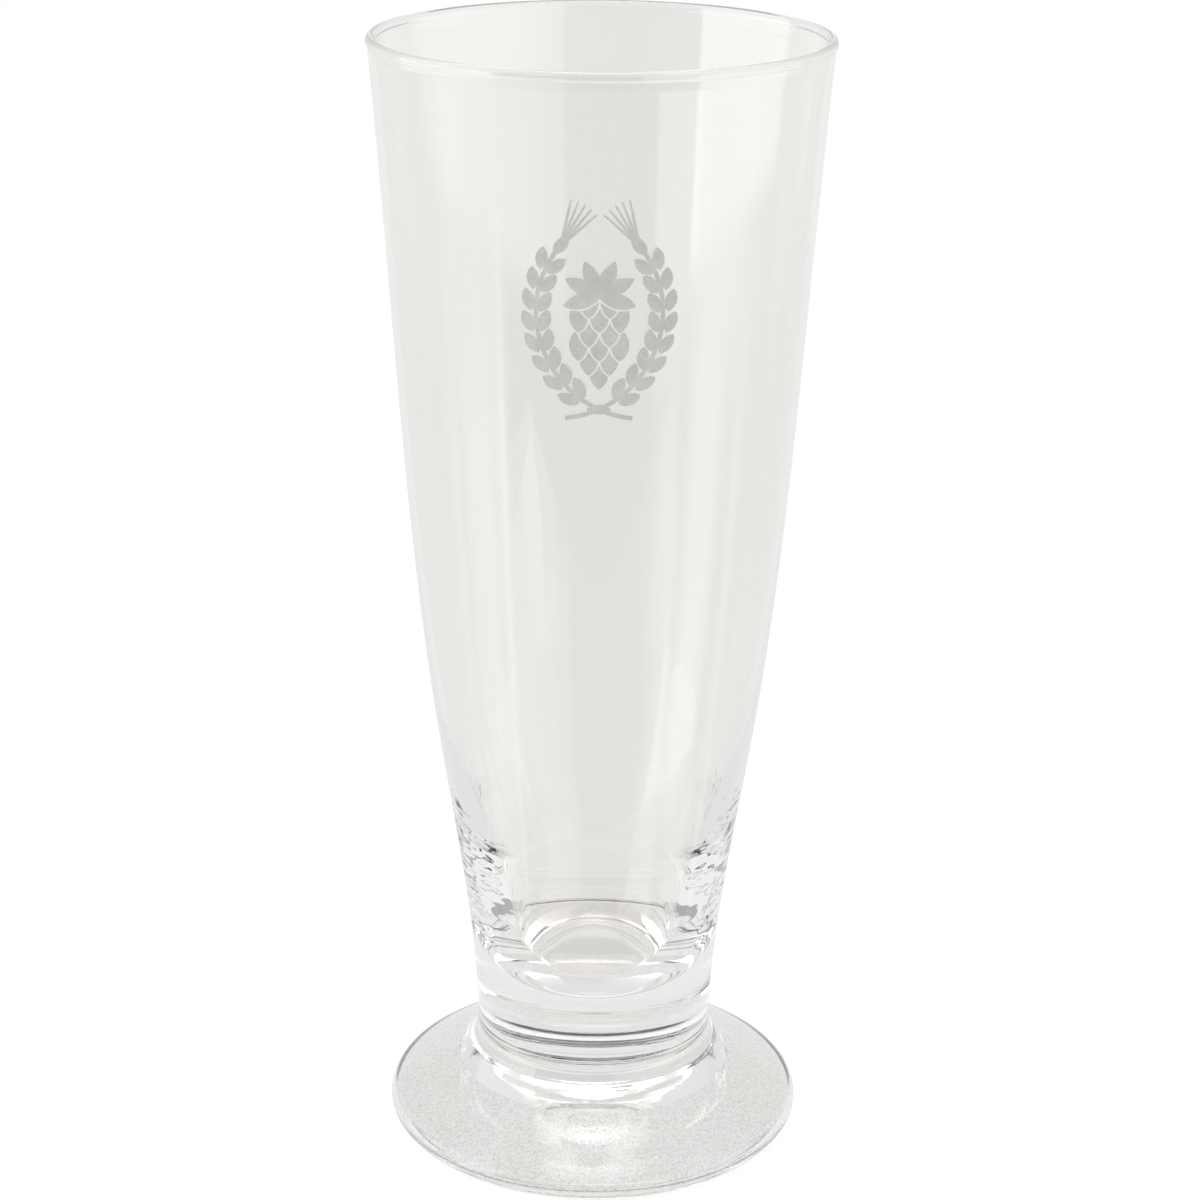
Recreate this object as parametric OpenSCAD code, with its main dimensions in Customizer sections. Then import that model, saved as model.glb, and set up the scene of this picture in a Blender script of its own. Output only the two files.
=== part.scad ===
// Footed pilsner glass: a flared, thin-walled bowl with a thick base, a short solid neck,
// a pressed disc foot and a fired print on the front of the bowl.
// Millimetres. +Z is up, and the origin is on the table under the middle of the foot.
// Every outline is a half section, given as [radius, height], that is turned round the Z axis.

/* [Bowl outside] */
// Height of the whole glass
glass_height = 200; // [175:1:230]
// Diameter of the wall just under the lip bead
lip_d = 77.6; // [72:0.1:84]
// Diameter where the lower flare turns into the long upper wall
flare_d = 54.4; // [50:0.1:58]
// Height of that turn above the table
flare_h = 68; // [62:1:74]
// Diameter of the bowl at its seam with the neck
base_d = 43.2; // [42:0.1:45]
// Height of that seam above the table
seam_h = 22; // [20.5:0.5:24]

/* [Bowl wall] */
// Thickness of the blown wall
wall = 1.3; // [1:0.05:2]
// Height of the fire-polished lip bead
bead_h = 1.8; // [1.6:0.1:3]
// How far the bead stands out from the wall
bead_proud = 0.35; // [0.1:0.05:0.6]
// How far the bead falls from the top of the lip to its widest place
lip_fall = 1.1; // [0.7:0.1:1.3]
// Radius of the round on the lip's inner edge
lip_round = 0.75; // [0.4:0.05:0.85]

/* [Cavity] */
// Height at which the wall has thinned to its full blown width
thin_h = 82; // [76:1:100]
// Thickness of the wall at that height
thin_wall = 1.7; // [1.4:0.1:2.4]
// Diameter of the cavity where its wall turns into the rounded floor
pocket_d = 33.8; // [30:0.1:36]
// Height of that place above the cavity's floor
pocket_rise = 12.5; // [9:0.1:14]
// Height of the cavity's floor above the table
floor_h = 28.5; // [26.5:0.1:33]
// Diameter of the flat middle of the floor
floor_d = 16; // [10:0.5:20]

/* [Neck] */
// Diameter of the waist
waist_d = 43; // [40:0.1:44]
// Height of the waist above the table
waist_h = 19.2; // [16:0.1:20]
// Diameter of the collar, where the cove under the waist meets the foot
collar_d = 50.4; // [47:0.1:54]
// Height of the collar above the table
collar_h = 10.6; // [9.5:0.1:12]

/* [Foot] */
// Diameter of the foot
foot_d = 76; // [70:0.5:84]
// Radius of its rounded edge
edge_r = 2.1; // [1.5:0.1:2.8]
// Width of the flat ring that it stands on
ring_w = 0.8; // [0.6:0.1:3]
// Height of the hollow under the middle of the foot
hollow_h = 6; // [3:0.1:6.5]

/* [Print] */
// Width of the wreath
print_w = 26; // [22:0.5:28]
// Height of the wreath
print_h = 36; // [30:0.5:40]
// Distance of its middle below the top of the glass
print_drop = 38.5; // [30:0.5:50]
// Thickness of the fired ink
ink = 0.12; // [0.08:0.01:0.25]
// Clearance between the wall and the ink, which keeps the two solids apart
ink_gap = 0.02; // [0.01:0.01:0.05]
// Grains along each side of an ear
grain_count = 8; // [5:1:9]
// Width of the bare lines that part the bracts of the hop cone
line_w = 0.35; // [0.25:0.05:0.5]

/* [Hidden] */
glass_colour = [0.86, 0.88, 0.87, 0.35];
ink_colour = [0.75, 0.75, 0.73];
$fn = 180;

// Steps along each curve
WALL_STEPS = 22;
BEND_STEPS = 12;
ROUND_STEPS = 8;
// Angles of the arcs, from outwards round to inwards
DOWN = -90;
OUT = 0;
UP = 90;
IN = 180;
// How steeply a wall leans outwards at its stations, as shares of the mean lean of the stretch
// from the flare to the lip, from the seam to the flare, or of the same stretches of the cavity
LIP_LEAN_SHARE = 0.95;
FLARE_LEAN_SHARE = 1.79;
BASE_LEAN_SHARE = 0.37;
THIN_LEAN_SHARE = 1.79;
POCKET_LEAN_SHARE = 0.97;
// The neck leaves the waist upright and meets the bowl at the bowl's own lean.
// At the collar the cove leans by this share of its mean lean
COVE_LEAN_SHARE = 2.1;
// The rounded floor starts no lower on its oval than this share of a half height
CORNER_START_SHARE = 0.7;

// The bead: the wall swells out to it, it falls away outwards in a quarter of an oval, and a small
// round turns its top into the straight inside
bead_base_h = glass_height - bead_h;
lip_r = lip_d / 2;
bead_out_r = lip_r + bead_proud;
lip_in_r = lip_r - wall;
lip_top_r = lip_in_r + lip_round;
bead_widest_h = glass_height - lip_fall;
flare_r = flare_d / 2;
base_r = base_d / 2;
upper_mean = (lip_r - flare_r) / (bead_base_h - flare_h);
lower_mean = (flare_r - base_r) / (flare_h - seam_h);
lip_lean = LIP_LEAN_SHARE * upper_mean;
flare_lean = FLARE_LEAN_SHARE * upper_mean;
base_lean = BASE_LEAN_SHARE * lower_mean;
pocket_h = floor_h + pocket_rise;
pocket_r = pocket_d / 2;
floor_r = floor_d / 2;
waist_r = waist_d / 2;
collar_r = collar_d / 2;
foot_r = foot_d / 2;
edge_mid_r = foot_r - edge_r;
// The foot's top meets the rounded edge at the angle of its own slope
foot_slope = atan2(collar_h - 2 * edge_r, edge_mid_r - collar_r);
cove_lean = COVE_LEAN_SHARE * (waist_r - collar_r) / (waist_h - collar_h);
hollow_edge_r = edge_mid_r - ring_w;
// The hollow is a shallow dish: the radius of its sphere follows from its width and height
hollow_ball_r = (pow(hollow_edge_r, 2) + pow(hollow_h, 2)) / (2 * hollow_h);
hollow_half_angle = asin(hollow_edge_r / hollow_ball_r);

// A wall between two stations [radius, height, lean] that leaves each one at its lean
function wall_curve(low, high, steps) =
    let (rise = high[1] - low[1])
    [for (i = [0 : steps])
        let (t = i / steps,
             from_low = (1 + 2 * t) * pow(1 - t, 2) * low[0] + t * pow(1 - t, 2) * rise * low[2],
             from_high = t * t * (3 - 2 * t) * high[0] - t * t * (1 - t) * rise * high[2])
        [from_low + from_high, low[1] + rise * t]];

// An arc of an oval about a middle, from one angle to another
function oval_arc(middle, half_w, half_h, from, to, steps) =
    [for (i = [0 : steps])
        let (a = from + (to - from) * i / steps)
        middle + [half_w * cos(a), half_h * sin(a)]];

function backwards(points) = [for (i = [len(points) - 1 : -1 : 0]) points[i]];

// The points of a curve without its first, where the curve before it ends
function onwards(points) = [for (i = [1 : len(points) - 1]) points[i]];

// The outer wall's curves, shared by the bowl and by the print that lies on it
flare_curve = wall_curve([base_r, seam_h, base_lean], [flare_r, flare_h, flare_lean], BEND_STEPS);
upper_curve = wall_curve([flare_r, flare_h, flare_lean], [lip_r, bead_base_h, lip_lean], WALL_STEPS);

// Radius of the outer wall at a height on its upper curve
function upper_r(height) = lookup(height, [for (p = upper_curve) [p[1], p[0]]]);

bead_curve = concat(
    onwards(wall_curve([lip_r, bead_base_h, lip_lean], [bead_out_r, bead_widest_h, 0], ROUND_STEPS)),
    onwards(oval_arc([lip_top_r, bead_widest_h], bead_out_r - lip_top_r, lip_fall, OUT, UP, ROUND_STEPS)),
    onwards(oval_arc([lip_top_r, glass_height - lip_round], lip_round, lip_round, UP, IN, ROUND_STEPS)));
thin_r = upper_r(thin_h) - thin_wall;
thin_lean = THIN_LEAN_SHARE * (lip_in_r - thin_r) / (bead_base_h - thin_h);
pocket_lean = POCKET_LEAN_SHARE * (thin_r - pocket_r) / (thin_h - pocket_h);
inner_upper = wall_curve([thin_r, thin_h, thin_lean], [lip_in_r, bead_base_h, lip_lean], WALL_STEPS);
inner_lower = wall_curve([pocket_r, pocket_h, pocket_lean], [thin_r, thin_h, thin_lean], WALL_STEPS);
// The rounded floor is part of an oval. It starts where the oval leans as the pocket's wall does,
// and ends level at the flat middle
corner_share = pocket_lean * pocket_rise / (pocket_r - floor_r);
corner_start = asin(min(CORNER_START_SHARE, corner_share / (1 - min(corner_share, CORNER_START_SHARE))));
corner_half_w = (pocket_r - floor_r) / cos(corner_start);
corner_half_h = pocket_rise / (1 - sin(corner_start));
floor_corner = oval_arc([floor_r, floor_h + corner_half_h], corner_half_w, corner_half_h,
                        -corner_start, DOWN, BEND_STEPS);

module bowl() {
    color(glass_colour)
        rotate_extrude()
            polygon(concat(
                [[0, seam_h]],
                flare_curve,
                onwards(upper_curve),
                bead_curve,
                backwards(inner_upper),
                onwards(backwards(inner_lower)),
                onwards(floor_corner),
                [[0, floor_h]]));
}

// A solid neck that narrows to its waist and runs out to the collar in a cove
module neck() {
    color(glass_colour)
        rotate_extrude()
            polygon(concat(
                [[0, collar_h]],
                wall_curve([collar_r, collar_h, cove_lean], [waist_r, waist_h, 0], BEND_STEPS),
                onwards(wall_curve([waist_r, waist_h, 0], [base_r, seam_h, base_lean], ROUND_STEPS)),
                [[0, seam_h]]));
}

// A pressed disc with a sloped top, a rounded edge, a flat standing ring and a dished hollow
module foot() {
    color(glass_colour)
        rotate_extrude()
            polygon(concat(
                [[0, collar_h], [0, hollow_h]],
                [for (i = [1 : BEND_STEPS])
                    let (a = hollow_half_angle * i / BEND_STEPS)
                    [hollow_ball_r * sin(a), hollow_h - hollow_ball_r * (1 - cos(a))]],
                oval_arc([edge_mid_r, edge_r], edge_r, edge_r, DOWN, UP - foot_slope, 2 * ROUND_STEPS),
                [[collar_r, collar_h]]));
}

/* The print: a hop cone between two crossed ears of barley, drawn flat and laid on the wall. */
GRAIN_LENGTH_SHARE = 0.105;
GRAIN_WIDTH_SHARE = 0.054;
STEM_WIDTH_SHARE = 0.020;
EAR_RADIUS_SHARE = 0.49;
AWN_LENGTH_SHARE = 0.175;
AWN_WIDTH_SHARE = 0.015;
TIE_LENGTH_SHARE = 0.110;
TIE_WIDTH_SHARE = 0.045;
HOP_TOP_SHARE = 0.055;
BRACT_LENGTH_SHARE = 0.150;
BRACT_WIDTH_SHARE = 0.082;
BRACT_STEP_SHARE = 0.066;
LEAF_LENGTH_SHARE = 0.180;
LEAF_WIDTH_SHARE = 0.070;
// Where the leaves sit on the top bracts, as a share of a bract's length
LEAF_SEAT_SHARE = 0.20;
// How far out a lobe's middle lies: under a half, so that the lobes run together at the stalk
LEAF_OUT_SHARE = 0.44;
bract_counts = [2, 3, 2, 3, 2, 1];
leaf_angles = [24, 64, 108];
grain_splay = 21;
ear_foot_angle = 263;
ear_first_angle = 229;
ear_top_angle = 141;
awn_fan = 9;

grain_l = print_h * GRAIN_LENGTH_SHARE;
grain_w = print_h * GRAIN_WIDTH_SHARE;
stem_w = print_h * STEM_WIDTH_SHARE;
ear_r = print_h * EAR_RADIUS_SHARE;
// A grain sits with its inner end on the stem, and the outer row touches the print's width
grain_out = grain_w / 2 + stem_w / 2;
grain_reach = grain_out + (grain_l * sin(grain_splay) + grain_w * cos(grain_splay)) / 2;
ear_mid_x = ear_r + grain_reach - print_w / 2;
// Depth below the print's middle at which the two stems cross
stem_cross_y = sqrt(pow(ear_r, 2) - pow(ear_mid_x, 2));
awn_l = print_h * AWN_LENGTH_SHARE;
awn_w = print_h * AWN_WIDTH_SHARE;
tie_l = print_h * TIE_LENGTH_SHARE;
tie_w = print_h * TIE_WIDTH_SHARE;
bract_l = print_h * BRACT_LENGTH_SHARE;
bract_w = print_h * BRACT_WIDTH_SHARE;
bract_step = print_h * BRACT_STEP_SHARE;
hop_top_y = print_h * HOP_TOP_SHARE;
leaf_l = print_h * LEAF_LENGTH_SHARE;
leaf_w = print_h * LEAF_WIDTH_SHARE;

// A pointed oval from two crossing circles, standing on its middle
module pointed_oval(length, width) {
    oval_r = (pow(length, 2) + pow(width, 2)) / (4 * width);
    intersection() {
        translate([oval_r - width / 2, 0]) circle(oval_r);
        translate([width / 2 - oval_r, 0]) circle(oval_r);
    }
}

// The left ear: a curved stem, two rows of grains, a last grain and a fan of awns
module barley_ear() {
    translate([ear_mid_x, 0]) {
        intersection() {
            difference() {
                circle(ear_r + stem_w / 2);
                circle(ear_r - stem_w / 2);
            }
            polygon(concat([[0, 0]], [for (i = [0 : 4])
                let (a = ear_top_angle + (ear_foot_angle - ear_top_angle) * i / 4)
                2 * ear_r * [cos(a), sin(a)]]));
        }
        for (i = [0 : grain_count - 1], side = [-1, 1])
            rotate(ear_first_angle - (ear_first_angle - ear_top_angle) * i / grain_count)
                translate([ear_r + side * grain_out, 0])
                    rotate(side * grain_splay)
                        pointed_oval(grain_l, grain_w);
        rotate(ear_top_angle)
            translate([ear_r, 0]) {
                pointed_oval(grain_l, grain_w);
                for (k = [-2 : 2])
                    rotate((k + 1) * awn_fan)
                        translate([0, -grain_l / 3])
                            polygon([[-awn_w / 2, 0], [-awn_w / 4, -awn_l],
                                     [awn_w / 4, -awn_l], [awn_w / 2, 0]]);
            }
    }
}

// One row of the hop cone's bracts, counted from the top
module bract_row(row, margin) {
    for (i = [0 : bract_counts[row] - 1])
        translate([(i - (bract_counts[row] - 1) / 2) * (bract_w + line_w), hop_top_y - row * bract_step])
            pointed_oval(bract_l + 2 * margin, bract_w + 2 * margin);
}

// The cone's bracts lap like roof tiles: each row is cut back by the rows above it
module hop_cone() {
    for (row = [0 : len(bract_counts) - 1])
        difference() {
            bract_row(row, 0);
            if (row > 0)
                bract_row(row - 1, line_w);
            if (row > 1)
                bract_row(row - 2, line_w);
        }
}

// Three pointed lobes on each side of the cone's stalk
module hop_leaves(margin) {
    translate([0, hop_top_y + bract_l * LEAF_SEAT_SHARE])
        for (lobe_angle = leaf_angles, side = [-1, 1])
            rotate(side * lobe_angle)
                translate([0, leaf_l * LEAF_OUT_SHARE])
                    pointed_oval(leaf_l + 2 * margin, leaf_w + 2 * margin);
}

// A knot that ties the crossed stems
module stem_tie() {
    translate([0, -stem_cross_y])
        rotate(90)
            pointed_oval(tie_l, tie_w);
}

module print_outline() {
    for (side = [0, 1])
        mirror([side, 0])
            barley_ear();
    difference() {
        hop_cone();
        hop_leaves(line_w);
    }
    hop_leaves(0);
    stem_tie();
}

// The ink follows the wall: a thin skin on the wall's own curve, cut to the drawing
module emblem() {
    color(ink_colour)
        intersection() {
            rotate_extrude()
                polygon(concat([for (p = upper_curve) p + [ink_gap, 0]],
                               backwards([for (p = upper_curve) p + [ink_gap + ink, 0]])));
            translate([0, 0, glass_height - print_drop])
                rotate([UP, 0, 0])
                    linear_extrude(height = lip_d)
                        print_outline();
        }
}

bowl();
neck();
foot();
emblem();
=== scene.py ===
"""A footed pilsner glass with a grey print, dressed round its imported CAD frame. Metres, +Z up."""

import math

import bpy
from mathutils import Matrix, Vector


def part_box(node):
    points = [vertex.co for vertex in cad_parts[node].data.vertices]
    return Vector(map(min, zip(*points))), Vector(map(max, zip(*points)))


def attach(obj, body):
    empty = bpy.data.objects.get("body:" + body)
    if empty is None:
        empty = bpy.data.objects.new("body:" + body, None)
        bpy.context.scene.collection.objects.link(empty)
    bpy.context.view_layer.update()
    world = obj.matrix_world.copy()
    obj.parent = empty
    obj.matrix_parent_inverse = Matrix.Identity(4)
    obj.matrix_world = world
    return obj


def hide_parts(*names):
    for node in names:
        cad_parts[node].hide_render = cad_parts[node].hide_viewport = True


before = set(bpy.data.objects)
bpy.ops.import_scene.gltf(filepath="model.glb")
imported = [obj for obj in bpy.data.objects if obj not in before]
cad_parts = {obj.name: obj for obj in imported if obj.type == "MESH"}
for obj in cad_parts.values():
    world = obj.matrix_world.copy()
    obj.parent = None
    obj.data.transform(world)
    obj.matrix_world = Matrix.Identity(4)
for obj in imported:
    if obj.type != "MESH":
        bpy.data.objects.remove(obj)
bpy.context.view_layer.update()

MM = 0.001

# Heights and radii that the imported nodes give: foot, collar, seam and rim
FOOT_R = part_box("foot")[1][0]
NECK_LOW, NECK_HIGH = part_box("neck")
BOWL_LOW, BOWL_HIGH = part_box("bowl")
COLLAR_H = NECK_LOW[2]
COLLAR_R = NECK_HIGH[0]
SEAM_H = BOWL_LOW[2]
RIM_H = BOWL_HIGH[2]
RIM_R = BOWL_HIGH[0]

# The lip: its bead and the wall under it
BEAD_H = 1.8 * MM
BEAD_PROUD = 0.35 * MM
LIP_FALL = 1.1 * MM
LIP_ROUND = 0.75 * MM
WALL = 1.3 * MM
LIP_R = RIM_R - BEAD_PROUD
LIP_H = RIM_H - BEAD_H

# How far the walls lean at their stations, as shares of the mean lean between two stations
BASE_LEAN = 0.37
FLARE_LEAN = 1.79
LIP_LEAN = 0.95
POCKET_LEAN = 0.97
COLLAR_LEAN = 2.1


def mean_lean(low, high):
    """How far a wall between two stations leans outwards for each millimetre that it rises."""
    return (high[0] - low[0]) / (high[1] - low[1])


# Stations of the outer wall: radius, height and outward lean
BASE_R = 21.6 * MM
FLARE_R = 27.2 * MM
FLARE_H = 68.0 * MM
LOWER_MEAN = mean_lean((BASE_R, SEAM_H), (FLARE_R, FLARE_H))
UPPER_MEAN = mean_lean((FLARE_R, FLARE_H), (LIP_R, LIP_H))
BASE = (BASE_R, SEAM_H, BASE_LEAN * LOWER_MEAN)
FLARE = (FLARE_R, FLARE_H, FLARE_LEAN * UPPER_MEAN)
LIP = (LIP_R, LIP_H, LIP_LEAN * UPPER_MEAN)

# Stations of the cavity
THIN_H = 82.0 * MM
THIN_WALL = 1.7 * MM
POCKET_R = 16.9 * MM
POCKET_H = 41.0 * MM
FLOOR_R = 8.0 * MM
FLOOR_H = 28.5 * MM

# Stations of the neck and the foot
WAIST = (21.5 * MM, 19.2 * MM, 0.0)
COLLAR = (COLLAR_R, COLLAR_H, COLLAR_LEAN * mean_lean((COLLAR_R, COLLAR_H), WAIST))
EDGE_R = 2.1 * MM
RING_W = 0.8 * MM
HOLLOW_H = 6.0 * MM

# The faint rings that the pressing tool leaves round the cove: how far apart and how deep, how strong
# they are on the whole, how much that wanders, and how fast it wanders for each millimetre up
RING_STEP = 0.9 * MM
RING_DEEP = 0.035 * MM
RING_STRONG = 0.6
RING_WANDER = 0.4
RING_WANDER_RATE = 2.3

# In how many steps each stretch of the outlines is drawn
LOWER_WALL_STEPS = 24
UPPER_WALL_STEPS = 48
BEAD_RISE_STEPS = 8
BEAD_OUTER_STEPS = 14
BEAD_INNER_STEPS = 10
POCKET_STEPS = 130
CORNER_STEPS = 44
FLOOR_STEPS = 3
JOINT_STEPS = 4
COVE_STEPS = 64
WAIST_STEPS = 20
HOLLOW_STEPS = 24
EDGE_STEPS = 24
FOOT_TOP_STEPS = 12

# Facets round the axis, fine enough for light to bend cleanly. Points this close are one, and edges
# shallower than this many degrees are shaded smooth
TURNS = 256
ONE_POINT = 0.001 * MM
SMOOTH_BELOW = 28.0

# The uneven ridges inside the thick part of the bowl: their length, spacing and depth, and the bearings
# from the camera's side at which they start, are full, fade and end
RIDGE_LONG = 4.5 * MM
RIDGE_STEP = 1.4 * MM
RIDGE_DEEP = 0.30 * MM
RIDGE_BEARINGS = (66.0, 72.0, 92.0, 102.0)
# They fade out over a stretch that ends at this height. Low in the pocket only a share of them is left,
# and it grows to the whole over the next stretch
RIDGE_TOP = THIN_H + 2 * MM
RIDGE_TOP_FADE = 14 * MM
RIDGE_LOW = 34 * MM
RIDGE_LOW_FADE = 6 * MM
RIDGE_LOW_SHARE = 0.12

# A face is flat when its normal is this upright, and lies in a joint when it is this close to its height
FLAT_NORMAL = 0.999
JOINT_NEAR = 0.02 * MM


def wall_curve(low, high, steps):
    """Points of a wall that leaves both stations at their leans."""
    rise = high[1] - low[1]
    points = []
    for i in range(steps + 1):
        t = i / steps
        r = (1 + 2 * t) * (1 - t) ** 2 * low[0] + t * (1 - t) ** 2 * rise * low[2]
        r += t * t * (3 - 2 * t) * high[0] - t * t * (1 - t) * rise * high[2]
        points.append((r, low[1] + rise * t))
    return points


def oval_arc(middle, half_w, half_h, start, end, steps):
    """Points of an arc of an oval, with its angles in degrees."""
    points = []
    for i in range(steps + 1):
        a = math.radians(start + (end - start) * i / steps)
        points.append((middle[0] + half_w * math.cos(a), middle[1] + half_h * math.sin(a)))
    return points


def straight(start, end, steps):
    """Points along a straight stretch, without its first one."""
    return [
        (start[0] + (end[0] - start[0]) * i / steps, start[1] + (end[1] - start[1]) * i / steps)
        for i in range(1, steps + 1)
    ]


def pocket_corner(pocket):
    """Points of the rounded corner under the pocket's wall, which it leaves at the wall's own lean."""
    wide = pocket[0] - FLOOR_R
    deep = pocket[1] - FLOOR_H
    share = pocket[2] * deep / wide
    start = math.asin(share / (1 - share))
    half_w = wide / math.cos(start)
    half_h = deep / (1 - math.sin(start))
    middle = (FLOOR_R, FLOOR_H + half_h)
    return oval_arc(middle, half_w, half_h, -math.degrees(start), -90, CORNER_STEPS)


def bowl_outline():
    """Half section of the bowl, from the axis out, up the wall, over the bead and down the cavity."""
    outer = wall_curve(BASE, FLARE, LOWER_WALL_STEPS)
    upper = wall_curve(FLARE, LIP, UPPER_WALL_STEPS)
    near_step = round((THIN_H - FLARE_H) / (LIP_H - FLARE_H) * UPPER_WALL_STEPS)
    near = upper[near_step]
    slope = (upper[near_step + 1][0] - near[0]) / (upper[1][1] - upper[0][1])
    thin_r = near[0] + slope * (THIN_H - near[1]) - THIN_WALL
    inner_lip = (LIP_R - WALL, LIP_H, LIP[2])
    thin = (thin_r, THIN_H, FLARE_LEAN * mean_lean((thin_r, THIN_H), inner_lip))
    pocket = (POCKET_R, POCKET_H, POCKET_LEAN * mean_lean((POCKET_R, POCKET_H), thin))
    top_r = LIP_R - WALL + LIP_ROUND
    bead = wall_curve(LIP, (RIM_R, RIM_H - LIP_FALL, 0.0), BEAD_RISE_STEPS)[1:]
    bead += oval_arc((top_r, RIM_H - LIP_FALL), RIM_R - top_r, LIP_FALL, 0, 90, BEAD_OUTER_STEPS)[1:]
    bead += oval_arc((top_r, RIM_H - LIP_ROUND), LIP_ROUND, LIP_ROUND, 90, 180, BEAD_INNER_STEPS)[1:]
    inner_upper = wall_curve(thin, inner_lip, UPPER_WALL_STEPS)
    inner_lower = wall_curve(pocket, thin, POCKET_STEPS)
    points = [(0.0, SEAM_H)] + straight((0.0, SEAM_H), BASE, JOINT_STEPS)
    points += outer[1:] + upper[1:] + bead
    points += inner_upper[::-1] + inner_lower[::-1][1:] + pocket_corner(pocket)[1:]
    return points + straight((FLOOR_R, FLOOR_H), (0.0, FLOOR_H), FLOOR_STEPS)


def neck_outline():
    """Half section of the neck: the cove with its faint rings, the waist and the seam with the bowl."""
    cove = []
    for r, z in wall_curve(COLLAR, WAIST, COVE_STEPS):
        along = (z - COLLAR_H) / (WAIST[1] - COLLAR_H)
        wave = 0.5 - 0.5 * math.cos(math.tau * (z - COLLAR_H) / RING_STEP)
        fade = math.sin(math.pi * along) ** 0.5 if 0.0 < along < 1.0 else 0.0
        strong = RING_STRONG + RING_WANDER * math.sin(RING_WANDER_RATE * z / MM)
        cove.append((r - RING_DEEP * wave * fade * strong, z))
    side = wall_curve(WAIST, BASE, WAIST_STEPS)
    points = [(0.0, COLLAR_H)] + straight((0.0, COLLAR_H), COLLAR, JOINT_STEPS)
    return points + cove[1:] + side[1:] + straight(BASE, (0.0, SEAM_H), JOINT_STEPS)


def foot_outline():
    """Half section of the foot: the hollow, the standing ring, the rounded edge and the sloped top."""
    edge_mid = FOOT_R - EDGE_R
    hollow_r = edge_mid - RING_W
    ball_r = (hollow_r ** 2 + HOLLOW_H ** 2) / (2 * HOLLOW_H)
    half_angle = math.asin(hollow_r / ball_r)
    hollow = []
    for i in range(1, HOLLOW_STEPS + 1):
        a = half_angle * i / HOLLOW_STEPS
        hollow.append((ball_r * math.sin(a), HOLLOW_H - ball_r * (1 - math.cos(a))))
    slope = math.degrees(math.atan2(COLLAR_H - 2 * EDGE_R, edge_mid - COLLAR_R))
    edge = oval_arc((edge_mid, EDGE_R), EDGE_R, EDGE_R, -90, 90 - slope, EDGE_STEPS)
    points = [(0.0, HOLLOW_H)] + hollow + edge
    points += straight(edge[-1], (COLLAR_R, COLLAR_H), FOOT_TOP_STEPS)
    return points + straight((COLLAR_R, COLLAR_H), (0.0, COLLAR_H), JOINT_STEPS)


def turn(name, outline):
    """Draws an outline point by point with extrusions and spins it round the axis."""
    bpy.ops.object.select_all(action="DESELECT")
    start = (outline[0][0], 0.0, outline[0][1])
    bpy.ops.mesh.primitive_plane_add(size=MM, location=start)
    piece = bpy.context.active_object
    piece.name = name
    bpy.ops.object.transform_apply(location=True, rotation=True, scale=True)
    bpy.ops.object.mode_set(mode="EDIT")
    bpy.ops.mesh.merge(type="CENTER")
    for here, there in zip(outline, outline[1:]):
        step = (there[0] - here[0], 0.0, there[1] - here[1])
        bpy.ops.mesh.extrude_region_move(TRANSFORM_OT_translate={"value": step})
    bpy.ops.mesh.select_all(action="SELECT")
    bpy.ops.mesh.spin(steps=TURNS, angle=math.tau, center=(0, 0, 0), axis=(0, 0, 1))
    bpy.ops.mesh.select_all(action="SELECT")
    bpy.ops.mesh.remove_doubles(threshold=ONE_POINT)
    bpy.ops.mesh.normals_make_consistent(inside=False)
    bpy.ops.object.mode_set(mode="OBJECT")
    bpy.ops.object.shade_smooth_by_angle(angle=math.radians(SMOOTH_BELOW))
    return piece


def held(share):
    """Holds a share between none and all."""
    return min(1.0, max(0.0, share))


def ridge(piece):
    """Presses uneven ridges into the inside of the bowl's thick part, as the mould leaves them."""
    start, full, fade, end = RIDGE_BEARINGS
    group = piece.vertex_groups.new(name="thick_inside")
    for vertex in piece.data.vertices:
        x, y, z = vertex.co
        inward = vertex.normal.to_2d().dot(vertex.co.to_2d()) < 0.0
        if not inward or z > RIDGE_TOP:
            continue
        fade_up = held((RIDGE_TOP - z) / RIDGE_TOP_FADE)
        fade_low = RIDGE_LOW_SHARE + (1.0 - RIDGE_LOW_SHARE) * held((z - RIDGE_LOW) / RIDGE_LOW_FADE)
        bearing = math.degrees(math.atan2(abs(x), -y))
        fade_side = held(min((bearing - start) / (full - start), (end - bearing) / (end - fade)))
        group.add([vertex.index], fade_up * fade_low * fade_side, "REPLACE")
    grid = bpy.data.objects.new("ridge_grid", None)
    bpy.context.scene.collection.objects.link(grid)
    grid.scale = (RIDGE_LONG, RIDGE_LONG, RIDGE_STEP)
    bpy.context.view_layer.update()
    texture = bpy.data.textures.new("ridges", "CLOUDS")
    texture.noise_scale = 1.0
    texture.noise_depth = 1
    press = piece.modifiers.new("ridges", "DISPLACE")
    press.texture = texture
    press.texture_coords = "OBJECT"
    press.texture_coords_object = grid
    press.vertex_group = "thick_inside"
    press.strength = RIDGE_DEEP
    press.mid_level = 0.5
    bpy.ops.object.select_all(action="DESELECT")
    bpy.context.view_layer.objects.active = piece
    piece.select_set(True)
    bpy.ops.object.modifier_apply(modifier="ridges")
    bpy.data.objects.remove(grid)
    piece.vertex_groups.clear()


def fuse(piece, *heights):
    """Gives the flat faces at the fused joints, which show nothing in real glass, their own slot."""
    piece.data.materials.append(joint_glass)
    for face in piece.data.polygons:
        flat = abs(face.normal.z) > FLAT_NORMAL
        at_joint = any(abs(face.center.z - height) < JOINT_NEAR for height in heights)
        if flat and at_joint:
            face.material_index = 1


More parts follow.
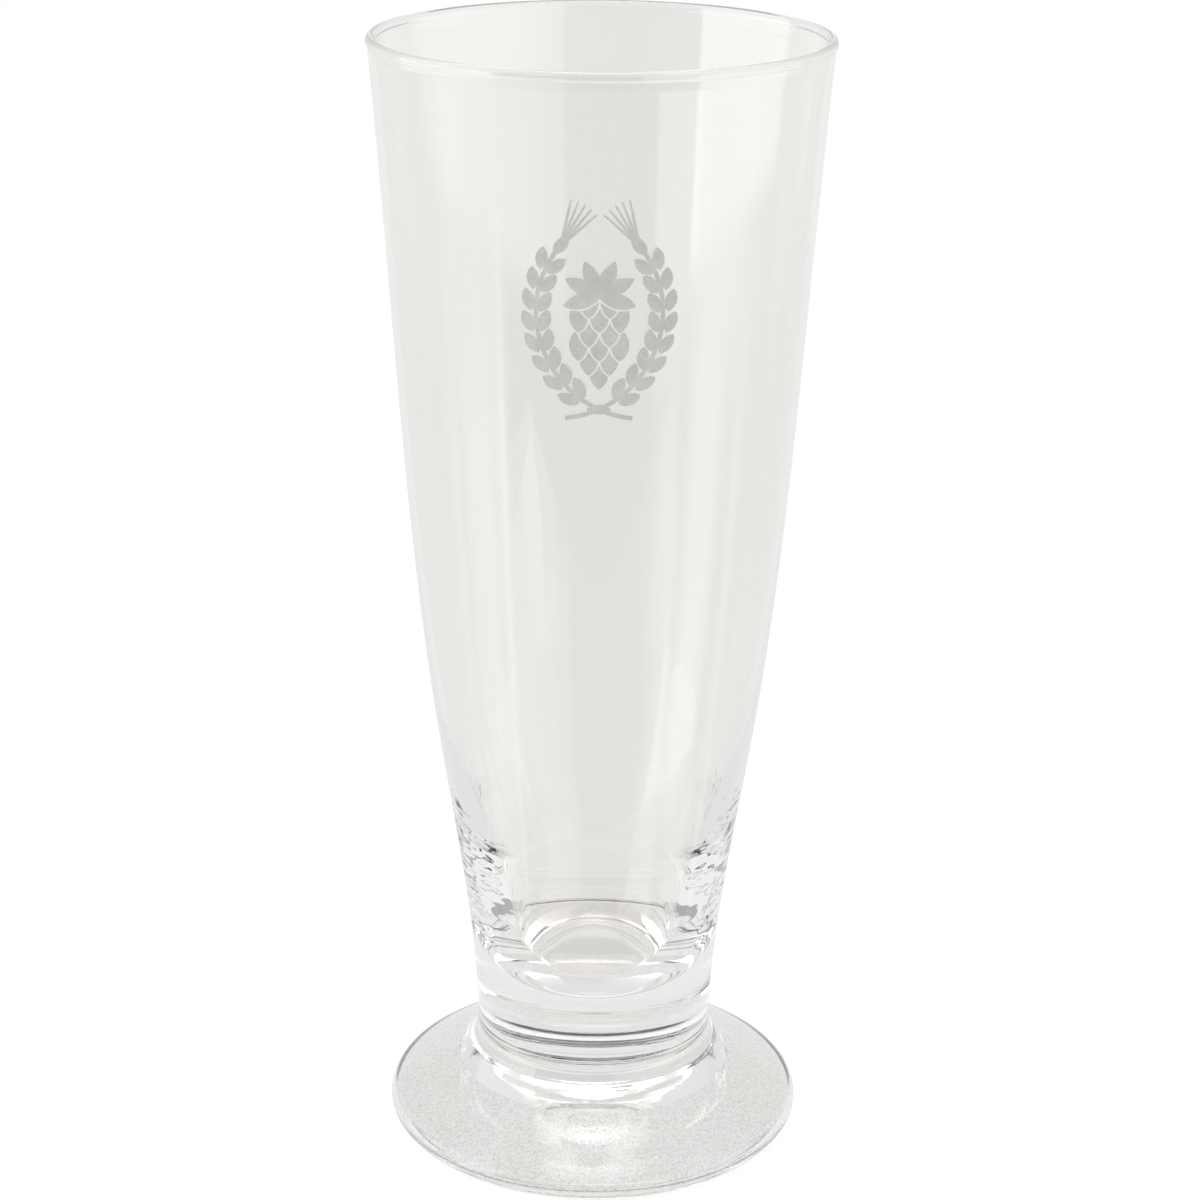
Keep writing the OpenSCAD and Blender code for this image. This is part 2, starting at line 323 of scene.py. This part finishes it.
def new_material(name):
    """A material with only a Principled shader, and that shader and the output to work on."""
    material = bpy.data.materials.new(name)
    material.use_nodes = True
    tree = material.node_tree
    tree.nodes.clear()
    output = tree.nodes.new("ShaderNodeOutputMaterial")
    shader = tree.nodes.new("ShaderNodeBsdfPrincipled")
    tree.links.new(shader.outputs["BSDF"], output.inputs["Surface"])
    return material, tree, shader, output


def new_group(name, inputs, outputs):
    """An empty node group with plain number inputs, given as (name, value), and typed outputs."""
    tree = bpy.data.node_groups.new(name, "ShaderNodeTree")
    for label, value in inputs:
        socket = tree.interface.new_socket(label, in_out="INPUT", socket_type="NodeSocketFloat")
        socket.default_value = value
    for label, kind in outputs:
        tree.interface.new_socket(label, in_out="OUTPUT", socket_type=kind)
    return tree, tree.nodes.new("NodeGroupInput"), tree.nodes.new("NodeGroupOutput")


def place_group(tree, group):
    """Puts a node group to work in a material or the world."""
    node = tree.nodes.new("ShaderNodeGroup")
    node.node_tree = group
    return node


def feed(tree, socket, value):
    """Gives a socket a number, or links what another node puts out to it."""
    if isinstance(value, float):
        socket.default_value = value
    else:
        tree.links.new(value, socket)


def smooth_between(tree, value, low, high):
    """A mask that rises from 0 to 1 between two values, given as numbers or sockets."""
    mask = tree.nodes.new("ShaderNodeMapRange")
    mask.interpolation_type = "SMOOTHSTEP"
    feed(tree, mask.inputs["Value"], value)
    feed(tree, mask.inputs["From Min"], low)
    feed(tree, mask.inputs["From Max"], high)
    return mask.outputs["Result"]


def combine(tree, operation, a, b=0.0):
    """One step of arithmetic with numbers or sockets."""
    node = tree.nodes.new("ShaderNodeMath")
    node.operation = operation
    feed(tree, node.inputs[0], a)
    feed(tree, node.inputs[1], b)
    return node.outputs[0]


def blend(tree, share, a, b):
    """Mixes two brightnesses, given as numbers or sockets."""
    mix = tree.nodes.new("ShaderNodeMix")
    mix.data_type = "FLOAT"
    tree.links.new(share, mix.inputs["Factor"])
    feed(tree, mix.inputs["A"], a)
    feed(tree, mix.inputs["B"], b)
    return mix.outputs["Result"]


def blend_colours(tree, share, a, b):
    """Mixes two colours by a share that changes over the surface."""
    mix = tree.nodes.new("ShaderNodeMix")
    mix.data_type = "RGBA"
    tree.links.new(share, mix.inputs["Factor"])
    mix.inputs["A"].default_value = a
    mix.inputs["B"].default_value = b
    return mix.outputs["Result"]


def blend_looks(tree, share, a, b):
    """Shows one shader or the other."""
    mix = tree.nodes.new("ShaderNodeMixShader")
    tree.links.new(share, mix.inputs["Fac"])
    tree.links.new(a, mix.inputs[1])
    tree.links.new(b, mix.inputs[2])
    return mix.outputs["Shader"]


def clouds(tree, where, scale, detail):
    """Cloudy noise over a place: its scale, as a number or a socket, and how many finer layers it has."""
    noise = tree.nodes.new("ShaderNodeTexNoise")
    tree.links.new(where, noise.inputs["Vector"])
    feed(tree, noise.inputs["Scale"], scale)
    noise.inputs["Detail"].default_value = detail
    return noise.outputs["Fac"]


def raise_surface(tree, shader, height, relief):
    """Lets the light see a surface as uneven, by a height that changes over it."""
    bump = tree.nodes.new("ShaderNodeBump")
    bump.inputs["Strength"].default_value = 1.0
    bump.inputs["Distance"].default_value = relief
    tree.links.new(height, bump.inputs["Height"])
    tree.links.new(bump.outputs["Normal"], shader.inputs["Normal"])


def was_mirrored(tree, light_path):
    """1 for light that the glass has mirrored on its way, and 0 for light that came straight through."""
    return combine(tree, "GREATER_THAN", light_path.outputs["Glossy Depth"], 0.5)


WHITE = (1.0, 1.0, 1.0, 1.0)

# The tint of the glass where it is clear, and where the pressed foot's skin is mottled, and how strongly
# glass bends light
GLASS_CLEAR = (0.953, 0.944, 0.930, 1.0)
FOOT_MOTTLE = (0.74, 0.735, 0.715, 1.0)
GLASS_BENDS = 1.5
# Where in the skin's grain the mottle starts and is full
MOTTLE_GRAIN = (0.42, 0.68)

# How often the render follows light that is mirrored, and light that goes on in any way
MIRRORS_FOLLOWED = 4.5
STEPS_FOLLOWED = 12.5
# Light that needs more than that comes out of each piece this bright
BOWL_TRAPPED = 0.76
NECK_TRAPPED = 0.40
FOOT_TRAPPED = 0.88
# At the back of the lip it is dimmer by this share. That comes in between these heights, and between
# these distances behind the axis
LIP_DIMMER = 0.40
LIP_HEIGHTS = (165.0 * MM, 175.0 * MM)
LIP_BEHIND = (-12.0 * MM, 12.0 * MM)
# It stays dark low in the solid base of the bowl, between these heights
BASE_DARK = (24.0 * MM, 30.0 * MM)
# It stays dark in the foot's thin edge too, where it has only made hops between these lengths
EDGE_HOPS = (1.0 * MM, 4.0 * MM)

# How deep the fine unevenness is on each piece, in metres of height, and its sizes
BOWL_SKIN = (("Grain Size", 0.8 * MM), ("Grain", 0.0005 * MM), ("Streak Width", 1.6 * MM),
             ("Streak Length", 90 * MM), ("Streaks", 0.0015 * MM))
NECK_SKIN = (("Grain Size", 0.9 * MM), ("Grain", 0.002 * MM), ("Streaks", 0.0))
FOOT_SKIN = (("Grain Size", 0.5 * MM), ("Grain", 0.006 * MM), ("Streaks", 0.0))

# The fired ink: the sizes of its patches and its grit, its grey where it took thinly and densely, and
# where in the patches and grit it goes from one to the other
INK_PATCH = 3.0 * MM
INK_GRIT = 0.25 * MM
INK_THIN = (0.61, 0.60, 0.575, 1.0)
INK_DENSE = (0.535, 0.525, 0.50, 1.0)
INK_TAKES = (0.36, 0.64)
# Its roughness in the low and the high grit, its relief, and how strong the grit is where a pinhole
# starts and is full, which lets this share of the glass show
INK_ROUGH = (0.45, 0.75)
INK_RELIEF = 0.02 * MM
PINHOLES = (0.66, 0.72)
PINHOLE_SHARE = 0.6


def make_trapped_light():
    """Colour of light that was mirrored to its limit inside thick glass.

    Such a ray would be lost as black. It shows the pale surroundings instead, which is where it comes from.
    """
    # With these values no hop is too short, and no height is dark
    tree, given, result = new_group(
        "trapped_light",
        [("Mirrored", 0.0), ("Steps", 0.0), ("Hop", 1.0), ("Short Hop", 0.0), ("Long Hop", 0.001),
         ("Dark Below", -1.0), ("Pale Above", -0.9), ("Level", 0.7)],
        [("Colour", "NodeSocketColor")],
    )
    have = given.outputs
    mirrored = combine(tree, "GREATER_THAN", have["Mirrored"], MIRRORS_FOLLOWED)
    stepped = combine(tree, "GREATER_THAN", have["Steps"], STEPS_FOLLOWED)
    trapped = combine(tree, "MAXIMUM", mirrored, stepped)
    long_hop = smooth_between(tree, have["Hop"], have["Short Hop"], have["Long Hop"])
    place = tree.nodes.new("ShaderNodeTexCoord")
    split = tree.nodes.new("ShaderNodeSeparateXYZ")
    tree.links.new(place.outputs["Object"], split.inputs["Vector"])
    high = smooth_between(tree, split.outputs["Z"], have["Dark Below"], have["Pale Above"])
    level = combine(tree, "MULTIPLY", combine(tree, "MULTIPLY", long_hop, high), have["Level"])
    near_lip = smooth_between(tree, split.outputs["Z"], *LIP_HEIGHTS)
    behind = smooth_between(tree, split.outputs["Y"], *LIP_BEHIND)
    lip_back = combine(tree, "MULTIPLY", near_lip, behind)
    left = combine(tree, "SUBTRACT", 1.0, combine(tree, "MULTIPLY", lip_back, LIP_DIMMER))
    shown = combine(tree, "MULTIPLY", trapped, combine(tree, "MULTIPLY", level, left))
    colour = tree.nodes.new("ShaderNodeCombineColor")
    for channel in ("Red", "Green", "Blue"):
        tree.links.new(shown, colour.inputs[channel])
    tree.links.new(colour.outputs["Color"], result.inputs["Colour"])
    return tree


def make_glass_skin():
    """Height of the fine unevenness of glass: a mottled grain, and streaks along the drawn wall."""
    tree, given, result = new_group(
        "glass_skin",
        [("Grain Size", 0.001), ("Grain", 1.0), ("Streak Width", 0.002), ("Streak Length", 0.08),
         ("Streaks", 1.0)],
        [("Height", "NodeSocketFloat"), ("Mottle", "NodeSocketFloat")],
    )
    have = given.outputs
    place = tree.nodes.new("ShaderNodeTexCoord")
    grain_scale = combine(tree, "DIVIDE", 1.0, have["Grain Size"])
    grain = clouds(tree, place.outputs["Object"], grain_scale, 2.0)
    spacing = tree.nodes.new("ShaderNodeCombineXYZ")
    for axis, size in (("X", "Streak Width"), ("Y", "Streak Width"), ("Z", "Streak Length")):
        tree.links.new(have[size], spacing.inputs[axis])
    stretch = tree.nodes.new("ShaderNodeVectorMath")
    stretch.operation = "DIVIDE"
    tree.links.new(place.outputs["Object"], stretch.inputs[0])
    tree.links.new(spacing.outputs[0], stretch.inputs[1])
    streaks = clouds(tree, stretch.outputs[0], 1.0, 1.0)
    fine = combine(tree, "MULTIPLY", grain, have["Grain"])
    drawn = combine(tree, "MULTIPLY", streaks, have["Streaks"])
    tree.links.new(combine(tree, "ADD", fine, drawn), result.inputs["Height"])
    tree.links.new(smooth_between(tree, grain, *MOTTLE_GRAIN), result.inputs["Mottle"])
    return tree


def make_glass(name, trapped_level, skin, hops=None, heights=None, mottle=None):
    """Clear glass that passes light, with the trapped light's colour given as its own."""
    material, tree, shader, _ = new_material(name)
    shader.inputs["Metallic"].default_value = 0.0
    shader.inputs["Roughness"].default_value = 0.0
    shader.inputs["IOR"].default_value = GLASS_BENDS
    shader.inputs["Transmission Weight"].default_value = 1.0
    light_path = tree.nodes.new("ShaderNodeLightPath")
    trapped = place_group(tree, trapped_light)
    for label, seen in (("Mirrored", "Glossy Depth"), ("Steps", "Ray Depth"), ("Hop", "Ray Length")):
        tree.links.new(light_path.outputs[seen], trapped.inputs[label])
    trapped.inputs["Level"].default_value = trapped_level
    if hops:
        trapped.inputs["Short Hop"].default_value = hops[0]
        trapped.inputs["Long Hop"].default_value = hops[1]
    if heights:
        trapped.inputs["Dark Below"].default_value = heights[0]
        trapped.inputs["Pale Above"].default_value = heights[1]
    tree.links.new(trapped.outputs["Colour"], shader.inputs["Emission Color"])
    shader.inputs["Emission Strength"].default_value = 1.0
    material.cycles.emission_sampling = "NONE"
    surface = place_group(tree, glass_skin)
    for label, value in skin:
        surface.inputs[label].default_value = value
    raise_surface(tree, shader, surface.outputs["Height"], 1.0)
    if mottle:
        tint = blend_colours(tree, surface.outputs["Mottle"], GLASS_CLEAR, mottle)
        tree.links.new(tint, shader.inputs["Base Color"])
    else:
        shader.inputs["Base Color"].default_value = GLASS_CLEAR
    return material


def make_joint_glass():
    """The fused joints, which show nothing."""
    material, _, shader, _ = new_material("fused_joint")
    shader.inputs["Base Color"].default_value = WHITE
    shader.inputs["Alpha"].default_value = 0.0
    return material


def make_ink():
    """Fired ink that took unevenly: thin and dense patches, fine grit, and pinholes the screen missed."""
    material, tree, shader, _ = new_material("fired_ink")
    place = tree.nodes.new("ShaderNodeTexCoord")
    patches = clouds(tree, place.outputs["Object"], 1.0 / INK_PATCH, 2.0)
    grit = clouds(tree, place.outputs["Object"], 1.0 / INK_GRIT, 3.0)
    mean = combine(tree, "MULTIPLY", combine(tree, "ADD", patches, grit), 0.5)
    grey = blend_colours(tree, smooth_between(tree, mean, *INK_TAKES), INK_THIN, INK_DENSE)
    tree.links.new(grey, shader.inputs["Base Color"])
    tree.links.new(blend(tree, grit, *INK_ROUGH), shader.inputs["Roughness"])
    missed = combine(tree, "MULTIPLY", smooth_between(tree, grit, *PINHOLES), PINHOLE_SHARE)
    tree.links.new(combine(tree, "SUBTRACT", 1.0, missed), shader.inputs["Alpha"])
    raise_surface(tree, shader, grit, INK_RELIEF)
    return material


# The table: its width, how far it lies below the foot, its own colour and roughness, the share of its
# look that is its own light, and how bright the camera and the glass see it
TABLE_SIZE = 1.2
TABLE_BELOW = 0.05 * MM
TABLE_COLOUR = (0.85, 0.85, 0.85, 1.0)
TABLE_ROUGH = 0.9
TABLE_GLOW = 0.85
TABLE_WHITE = 1.08
TABLE_LEVEL = 0.90
# Rings of shade where the foot's edge stands and just outside it: the radii where each one
# starts, is full, fades and ends, and how deep it is. Between them the edge gathers light, so the
# depth is below 0
CONTACT_SHADE = (
    (35.5 * MM, 35.9 * MM, 36.5 * MM, 37.0 * MM, 0.90),
    (37.75 * MM, 37.95 * MM, 38.45 * MM, 38.65 * MM, 1.00),
    (38.65 * MM, 38.85 * MM, 39.2 * MM, 39.4 * MM, -0.30),
    (39.4 * MM, 39.6 * MM, 39.9 * MM, 40.3 * MM, 0.70),
)
# Where the bands on the table start, and where it starts to show the far ones, by distance from the axis
BANDS_FROM = (50 * MM, 80 * MM)
TABLE_FAR = (300 * MM, 550 * MM)

# How bright the studio is straight through the glass, how brightly the world lights what is matt, and
# the studio's tint
PLAIN_LEVEL = 0.88
WORLD_LEVEL = 0.75
STUDIO_TINT = (1.0, 1.0, 0.99, 1.0)

# Brightness of the studio that the glass mirrors, by bearing in degrees from the camera's side (0) towards
# its right. First level with the glass, with a dim gap in front
STUDIO = (
    (-180.0, 0.90), (-118.0, 0.92), (-112.0, 2.20), (-54.6, 2.30), (-53.4, 0.30), (-15.0, 0.12),
    (19.4, 0.25), (20.6, 1.05), (50.0, 1.70), (85.0, 1.90), (112.0, 1.40), (118.0, 0.92),
    (180.0, 0.90),
)
# Higher up, where only the lip and the curved neck mirror it, it is the same in front and at the sides,
# and dimmer from this bearing to the back
BACK_BEARING = 118.0
BACK_HIGH = 0.74
STUDIO_HIGH = [(angle, BACK_HIGH if abs(angle) >= BACK_BEARING else level) for angle, level in STUDIO]
# The dim wall below the windows
STUDIO_DIM = (
    (-180.0, 0.90), (-104.0, 0.90), (-94.0, 1.00), (-88.0, 1.30), (-64.0, 1.15), (-54.0, 0.28),
    (56.0, 0.28), (62.0, 1.25), (80.0, 1.35), (90.0, 1.10), (104.0, 0.90), (180.0, 0.90),
)
# The far table and the floor beyond it
STUDIO_FAR = (
    (-180.0, 0.90), (-118.0, 0.90), (-95.0, 1.00), (-90.0, 1.25), (-84.0, 1.40), (-76.0, 1.20),
    (-60.0, 1.00), (-56.0, 1.15), (-53.0, 1.10), (-52.0, 0.90), (27.5, 0.90), (28.5, 2.05),
    (50.0, 2.05), (53.0, 1.60), (70.0, 1.55), (84.0, 1.40), (96.0, 1.10), (118.0, 0.90),
    (180.0, 0.90),
)
# The near table
STUDIO_NEAR = (
    (-180.0, 0.90), (-118.0, 0.90), (-92.0, 1.05), (-90.5, 1.40), (-88.5, 1.40), (-86.0, 1.10),
    (-82.0, 1.00), (-80.0, 1.50), (-66.0, 1.55), (-60.0, 1.25), (-57.0, 1.30), (-55.5, 1.85),
    (-53.5, 1.80), (-52.5, 0.80), (-42.0, 0.72), (-32.0, 0.74), (24.0, 0.80), (30.0, 1.00),
    (36.0, 1.35), (41.0, 1.60), (44.0, 1.60), (46.0, 1.10), (50.0, 1.10), (53.0, 1.60),
    (58.0, 1.75), (68.0, 1.60), (74.0, 0.90), (81.0, 1.00), (83.0, 1.45), (86.0, 1.40),
    (88.0, 1.00), (118.0, 0.90),
)
STUDIO_BANDS = {
    "High": STUDIO_HIGH, "Round": STUDIO, "Dim": STUDIO_DIM, "Far": STUDIO_FAR, "Near": STUDIO_NEAR,
}
# A colour ramp holds levels up to 1, so they are divided by this and multiplied back
STUDIO_MAX = 2.5
# Heights on the unit sphere between which each gives way to the next: the far table to the dim wall, that
# to the windows, and those to what is higher up
WALL_FOOT = (-0.26, -0.22)
WINDOW_SILL = (-0.128, -0.102)
HIGH_SILL = (0.18, 0.26)
# How steep a view is, up or down, where the studio turns plain, and its level there
STEEP = (0.75, 0.95)
STEEP_LEVEL = 0.85
# The bright window straight overhead: the heights on the unit sphere where it starts and is full, and
# its light
OVERHEAD_EDGE = (0.965, 0.985)
OVERHEAD_LIGHT = 1.2
# The skylight behind that the lip mirrors: how far it leans back from overhead, in degrees, its edge
# measured the same way from its own middle, and its light
SKYLIGHT_LEAN = 16.0
SKYLIGHT_EDGE = (0.93, 0.985)
SKYLIGHT_LIGHT = 2.6


def make_studio_bands():
    """Brightness of the studio by bearing, from how far right and how far back something lies."""
    tree, given, result = new_group(
        "studio_bands",
        [("Right", 0.0), ("Back", 1.0)],
        [(label, "NodeSocketFloat") for label in STUDIO_BANDS],
    )
    front = combine(tree, "MULTIPLY", given.outputs["Back"], -1.0)
    bearing = combine(tree, "ARCTAN2", given.outputs["Right"], front)
    turn_share = combine(tree, "ADD", combine(tree, "DIVIDE", bearing, math.tau), 0.5)
    for label, table in STUDIO_BANDS.items():
        ramp = tree.nodes.new("ShaderNodeValToRGB")
        stops = ramp.color_ramp.elements
        while len(stops) < len(table):
            stops.new(0.5)
        for stop, (angle, level) in zip(stops, table):
            stop.position = (angle + 180.0) / 360.0
            grey = level / STUDIO_MAX
            stop.color = (grey, grey, grey, 1.0)
        tree.links.new(turn_share, ramp.inputs["Fac"])
        shown = combine(tree, "MULTIPLY", ramp.outputs["Color"], STUDIO_MAX)
        tree.links.new(shown, result.inputs[label])
    return tree


def place_bands(tree, split):
    """The studio's bands round the axis, for a direction or a place split into its three numbers."""
    bands = place_group(tree, studio_bands)
    tree.links.new(split.outputs["X"], bands.inputs["Right"])
    tree.links.new(split.outputs["Y"], bands.inputs["Back"])
    return bands.outputs


def make_floor():
    """A pale table that reads white to the camera with a soft shadow, and pale to the glass."""
    material, tree, shader, output = new_material("floor_white")
    shader.inputs["Base Color"].default_value = TABLE_COLOUR
    shader.inputs["Roughness"].default_value = TABLE_ROUGH
    light_path = tree.nodes.new("ShaderNodeLightPath")
    place = tree.nodes.new("ShaderNodeTexCoord")
    split = tree.nodes.new("ShaderNodeSeparateXYZ")
    tree.links.new(place.outputs["Object"], split.inputs["Vector"])
    length = tree.nodes.new("ShaderNodeVectorMath")
    length.operation = "LENGTH"
    tree.links.new(place.outputs["Object"], length.inputs[0])
    apart = length.outputs["Value"]
    # The studio's windows light the table in bands, which the wall of the glass mirrors
    bands = place_bands(tree, split)
    banded = blend(tree, smooth_between(tree, apart, *TABLE_FAR), bands["Near"], bands["Far"])
    clear_of_glass = smooth_between(tree, apart, *BANDS_FROM)
    in_bands = combine(tree, "MULTIPLY", clear_of_glass, was_mirrored(tree, light_path))
    banded = blend(tree, in_bands, TABLE_LEVEL, banded)
    # Under the edge of the foot, where it stands, the glass shows the table in shade
    lit = 1.0
    for start, full, fade, end, depth in CONTACT_SHADE:
        shade_in = smooth_between(tree, apart, start, full)
        shade_out = smooth_between(tree, apart, fade, end)
        shade = combine(tree, "MULTIPLY", combine(tree, "SUBTRACT", shade_in, shade_out), depth)
        lit = combine(tree, "SUBTRACT", lit, shade)
    seen = combine(tree, "MULTIPLY", lit, banded)
    seen = blend(tree, light_path.outputs["Is Camera Ray"], seen, TABLE_WHITE)
    glow = tree.nodes.new("ShaderNodeEmission")
    glow.inputs["Color"].default_value = WHITE
    tree.links.new(seen, glow.inputs["Strength"])
    share = blend(tree, light_path.outputs["Is Diffuse Ray"], TABLE_GLOW, 0.0)
    look = blend_looks(tree, share, shader.outputs["BSDF"], glow.outputs["Emission"])
    tree.links.new(look, output.inputs["Surface"])
    bpy.ops.object.select_all(action="DESELECT")
    bpy.ops.mesh.primitive_plane_add(size=TABLE_SIZE, location=(0, 0, -TABLE_BELOW))
    floor = bpy.context.active_object
    floor.name = "floor"
    bpy.ops.object.transform_apply(location=True, rotation=True, scale=True)
    floor.data.materials.append(material)


def backdrop(tree, colour, strength):
    """One look of the world all round, with its strength as a number or a socket."""
    node = tree.nodes.new("ShaderNodeBackground")
    node.inputs["Color"].default_value = colour
    feed(tree, node.inputs["Strength"], strength)
    return node.outputs["Background"]


def make_world():
    """White all round for what the camera sees. The glass also sees a studio with a dim gap in front."""
    world = bpy.data.worlds.new("studio")
    bpy.context.scene.world = world
    world.use_nodes = True
    tree = world.node_tree
    tree.nodes.clear()
    output = tree.nodes.new("ShaderNodeOutputWorld")
    where = tree.nodes.new("ShaderNodeTexCoord")
    split = tree.nodes.new("ShaderNodeSeparateXYZ")
    tree.links.new(where.outputs["Generated"], split.inputs["Vector"])
    height = split.outputs["Z"]
    bands = place_bands(tree, split)
    level = blend(tree, smooth_between(tree, height, *WALL_FOOT), bands["Far"], bands["Dim"])
    level = blend(tree, smooth_between(tree, height, *WINDOW_SILL), level, bands["Round"])
    level = blend(tree, smooth_between(tree, height, *HIGH_SILL), level, bands["High"])
    # Straight through the glass the studio is plain, from every side
    light_path = tree.nodes.new("ShaderNodeLightPath")
    level = blend(tree, was_mirrored(tree, light_path), PLAIN_LEVEL, level)
    # Straight up and straight down the bearings meet, and the studio is plain there
    steep = smooth_between(tree, combine(tree, "ABSOLUTE", height), *STEEP)
    level = blend(tree, steep, level, STEEP_LEVEL)
    overhead = smooth_between(tree, height, *OVERHEAD_EDGE)
    level = combine(tree, "ADD", level, combine(tree, "MULTIPLY", overhead, OVERHEAD_LIGHT))
    toward = tree.nodes.new("ShaderNodeVectorMath")
    toward.operation = "DOT_PRODUCT"
    tree.links.new(where.outputs["Generated"], toward.inputs[0])
    lean = math.radians(SKYLIGHT_LEAN)
    toward.inputs[1].default_value = (0.0, math.sin(lean), math.cos(lean))
    skylight = smooth_between(tree, toward.outputs["Value"], *SKYLIGHT_EDGE)
    level = combine(tree, "ADD", level, combine(tree, "MULTIPLY", skylight, SKYLIGHT_LIGHT))
    # Only the glass sees the studio, and what is matt is lit evenly
    to_glass = combine(tree, "MAXIMUM", light_path.outputs["Is Glossy Ray"],
                       light_path.outputs["Is Transmission Ray"])
    even = backdrop(tree, WHITE, WORLD_LEVEL)
    studio = backdrop(tree, STUDIO_TINT, level)
    white = backdrop(tree, WHITE, 1.0)
    lit = blend_looks(tree, to_glass, even, studio)
    shown = blend_looks(tree, light_path.outputs["Is Camera Ray"], lit, white)
    tree.links.new(shown, output.inputs["Surface"])


# The soft lamp: its width, its power in watts, its place and the place that it is aimed at
LAMP_SIZE = 0.6
LAMP_POWER = 3.0
LAMP_PLACE = (-0.5, -0.5, 0.9)
LAMP_AIM = (0.0, 0.0, 0.1)


def make_lamp():
    """One wide, soft lamp above and to the left, for the shadow on the floor."""
    lamp = bpy.data.lights.new("soft_box", "AREA")
    lamp.shape = "RECTANGLE"
    lamp.size = LAMP_SIZE
    lamp.size_y = LAMP_SIZE
    lamp.energy = LAMP_POWER
    holder = bpy.data.objects.new("soft_box", lamp)
    bpy.context.scene.collection.objects.link(holder)
    holder.location = LAMP_PLACE
    aim = Vector(LAMP_AIM) - Vector(LAMP_PLACE)
    holder.rotation_euler = aim.to_track_quat("-Z", "Y").to_euler()
    holder.visible_glossy = False
    holder.visible_transmission = False


# The camera: its distance and height from the glass, its downward tilt and its roll in degrees, its lens,
# how far the frame is shifted, and how close it can see
CAMERA_BACK = 0.4657
CAMERA_UP = 0.2717
CAMERA_TILT = 20.23
CAMERA_ROLL = 0.50
FOCAL_PX = 2792.6
FRAME_PX = 1200
SENSOR_MM = 36.0
FRAME_SHIFT = 0.0025
SEES_FROM = 0.01


def make_camera():
    """The camera at the photograph's place and angle."""
    data = bpy.data.cameras.new("camera")
    data.sensor_width = SENSOR_MM
    data.lens = SENSOR_MM * FOCAL_PX / FRAME_PX
    data.shift_x = FRAME_SHIFT
    data.clip_start = SEES_FROM
    camera = bpy.data.objects.new("camera", data)
    bpy.context.scene.collection.objects.link(camera)
    camera.location = (0.0, -CAMERA_BACK, CAMERA_UP)
    level = Matrix.Rotation(math.radians(90 - CAMERA_TILT), 4, "X")
    roll = Matrix.Rotation(math.radians(CAMERA_ROLL), 4, "Z")
    camera.rotation_euler = (level @ roll).to_euler()
    bpy.context.scene.camera = camera


trapped_light = make_trapped_light()
glass_skin = make_glass_skin()
bowl_clear = make_glass("bowl_clear_glass", BOWL_TRAPPED, BOWL_SKIN, heights=BASE_DARK)
neck_clear = make_glass("neck_clear_glass", NECK_TRAPPED, NECK_SKIN)
foot_clear = make_glass("foot_pressed_glass", FOOT_TRAPPED, FOOT_SKIN, hops=EDGE_HOPS, mottle=FOOT_MOTTLE)
joint_glass = make_joint_glass()
fired_ink = make_ink()

bowl = turn("bowl_glass", bowl_outline())
ridge(bowl)
neck = turn("neck_glass", neck_outline())
foot = turn("foot_glass", foot_outline())
turned = ((bowl, "bowl", bowl_clear), (neck, "neck", neck_clear), (foot, "foot", foot_clear))
for piece, node, glass in turned:
    piece.data.materials.append(glass)
    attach(piece, "root")
    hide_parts(node)
fuse(bowl, SEAM_H)
fuse(neck, SEAM_H, COLLAR_H)
fuse(foot, COLLAR_H)

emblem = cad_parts["emblem"]
emblem.data.materials.clear()
emblem.data.materials.append(fired_ink)

studio_bands = make_studio_bands()
make_floor()
make_world()
make_lamp()
make_camera()
bpy.context.scene.view_settings.view_transform = "Standard"
